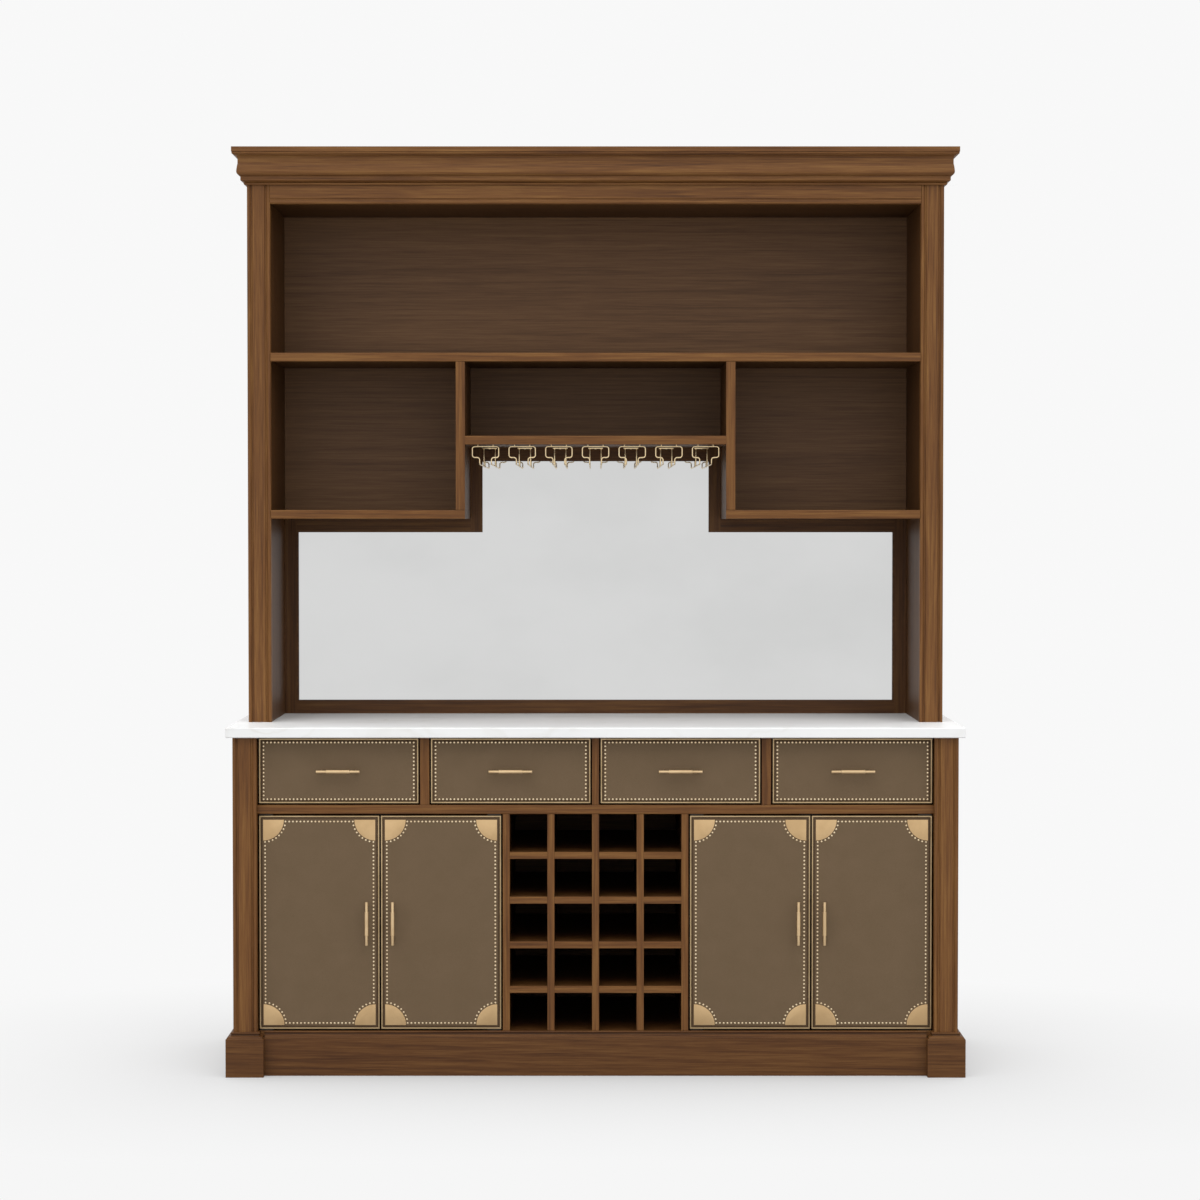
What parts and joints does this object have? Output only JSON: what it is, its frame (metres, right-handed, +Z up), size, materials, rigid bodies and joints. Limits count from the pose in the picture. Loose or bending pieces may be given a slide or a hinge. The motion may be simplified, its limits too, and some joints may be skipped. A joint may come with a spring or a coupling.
{
  "type": "bar cabinet",
  "caption": "Two-stage bar cabinet: leather-fronted drawers and doors beside a wine lattice, stone counter, open mirrored hutch with hanging stemware racks.",
  "frame": {"origin": "on the floor, at the middle of the cabinet's width and depth", "axes": "+Z up, +X to the right of someone facing the front, +Y from the front towards the back; the doors and drawers face -Y"},
  "size_m": [1.9074, 0.575, 2.413],
  "materials": {
    "walnut": "satin lacquer",
    "walnut_inside": "satin lacquer",
    "drawer_wood": "satin",
    "leather": "matt, fine grain",
    "brass": "brushed",
    "steel": "zinc plated",
    "stone": "polished",
    "mirror_glass": "polished"
  },
  "bodies": {
    "carcass": {"plinth_boards": "walnut", "plinth_corner_blocks": "walnut", "base_side_walls": "walnut", "base_pilasters": "walnut", "base_bottom": "walnut_inside", "base_back": "walnut_inside", "drawer_deck": "walnut", "drawer_dividers": "walnut", "base_top": "walnut_inside", "rack_partitions": "walnut", "rack_uprights": "walnut_inside", "rack_shelves": "walnut_inside", "cupboard_shelves": "walnut_inside", "door_pivots": "steel", "door_catches": "steel", "drawer_runners": "steel", "countertop": "stone", "hutch_side_walls": "walnut", "hutch_pilasters": "walnut", "hutch_frieze": "walnut", "hutch_top_boards": "walnut", "cornice": "walnut", "hutch_shelves": "walnut", "hutch_dividers": "walnut", "hutch_back": "walnut_inside", "mirror": "mirror_glass", "mirror_frame": "walnut", "stemware_hangers": "brass"},
    "door_1": {"door_1_panel": "leather", "door_1_trim": "brass", "door_1_pull": "brass"},
    "door_2": {"door_2_panel": "leather", "door_2_trim": "brass", "door_2_pull": "brass"},
    "door_3": {"door_3_panel": "leather", "door_3_trim": "brass", "door_3_pull": "brass"},
    "door_4": {"door_4_panel": "leather", "door_4_trim": "brass", "door_4_pull": "brass"},
    "drawer_1": {"drawer_1_front": "leather", "drawer_1_edging": "brass", "drawer_1_pull": "brass", "drawer_1_box": "drawer_wood", "drawer_1_slides": "steel"},
    "drawer_2": {"drawer_2_front": "leather", "drawer_2_edging": "brass", "drawer_2_pull": "brass", "drawer_2_box": "drawer_wood", "drawer_2_slides": "steel"},
    "drawer_3": {"drawer_3_front": "leather", "drawer_3_edging": "brass", "drawer_3_pull": "brass", "drawer_3_box": "drawer_wood", "drawer_3_slides": "steel"},
    "drawer_4": {"drawer_4_front": "leather", "drawer_4_edging": "brass", "drawer_4_pull": "brass", "drawer_4_box": "drawer_wood", "drawer_4_slides": "steel"}
  },
  "joints": [
    {"name": "door_1_hinge", "type": "hinge", "parent": "carcass", "child": "door_1", "pos_m": [-0.8518, -0.2395, 0.396], "axis": [0, 0, -1], "range_deg": [0, 105]},
    {"name": "door_2_hinge", "type": "hinge", "parent": "carcass", "child": "door_2", "pos_m": [-0.2622, -0.2395, 0.396], "axis": [0, 0, 1], "range_deg": [0, 105]},
    {"name": "door_3_hinge", "type": "hinge", "parent": "carcass", "child": "door_3", "pos_m": [0.2622, -0.2395, 0.396], "axis": [0, 0, -1], "range_deg": [0, 105]},
    {"name": "door_4_hinge", "type": "hinge", "parent": "carcass", "child": "door_4", "pos_m": [0.8518, -0.2395, 0.396], "axis": [0, 0, 1], "range_deg": [0, 105]},
    {"name": "drawer_1_slide", "type": "slide", "parent": "carcass", "child": "drawer_1", "axis": [0, -1, 0], "range_m": [0, 0.32]},
    {"name": "drawer_2_slide", "type": "slide", "parent": "carcass", "child": "drawer_2", "axis": [0, -1, 0], "range_m": [0, 0.32]},
    {"name": "drawer_3_slide", "type": "slide", "parent": "carcass", "child": "drawer_3", "axis": [0, -1, 0], "range_m": [0, 0.32]},
    {"name": "drawer_4_slide", "type": "slide", "parent": "carcass", "child": "drawer_4", "axis": [0, -1, 0], "range_m": [0, 0.32]}
  ]
}
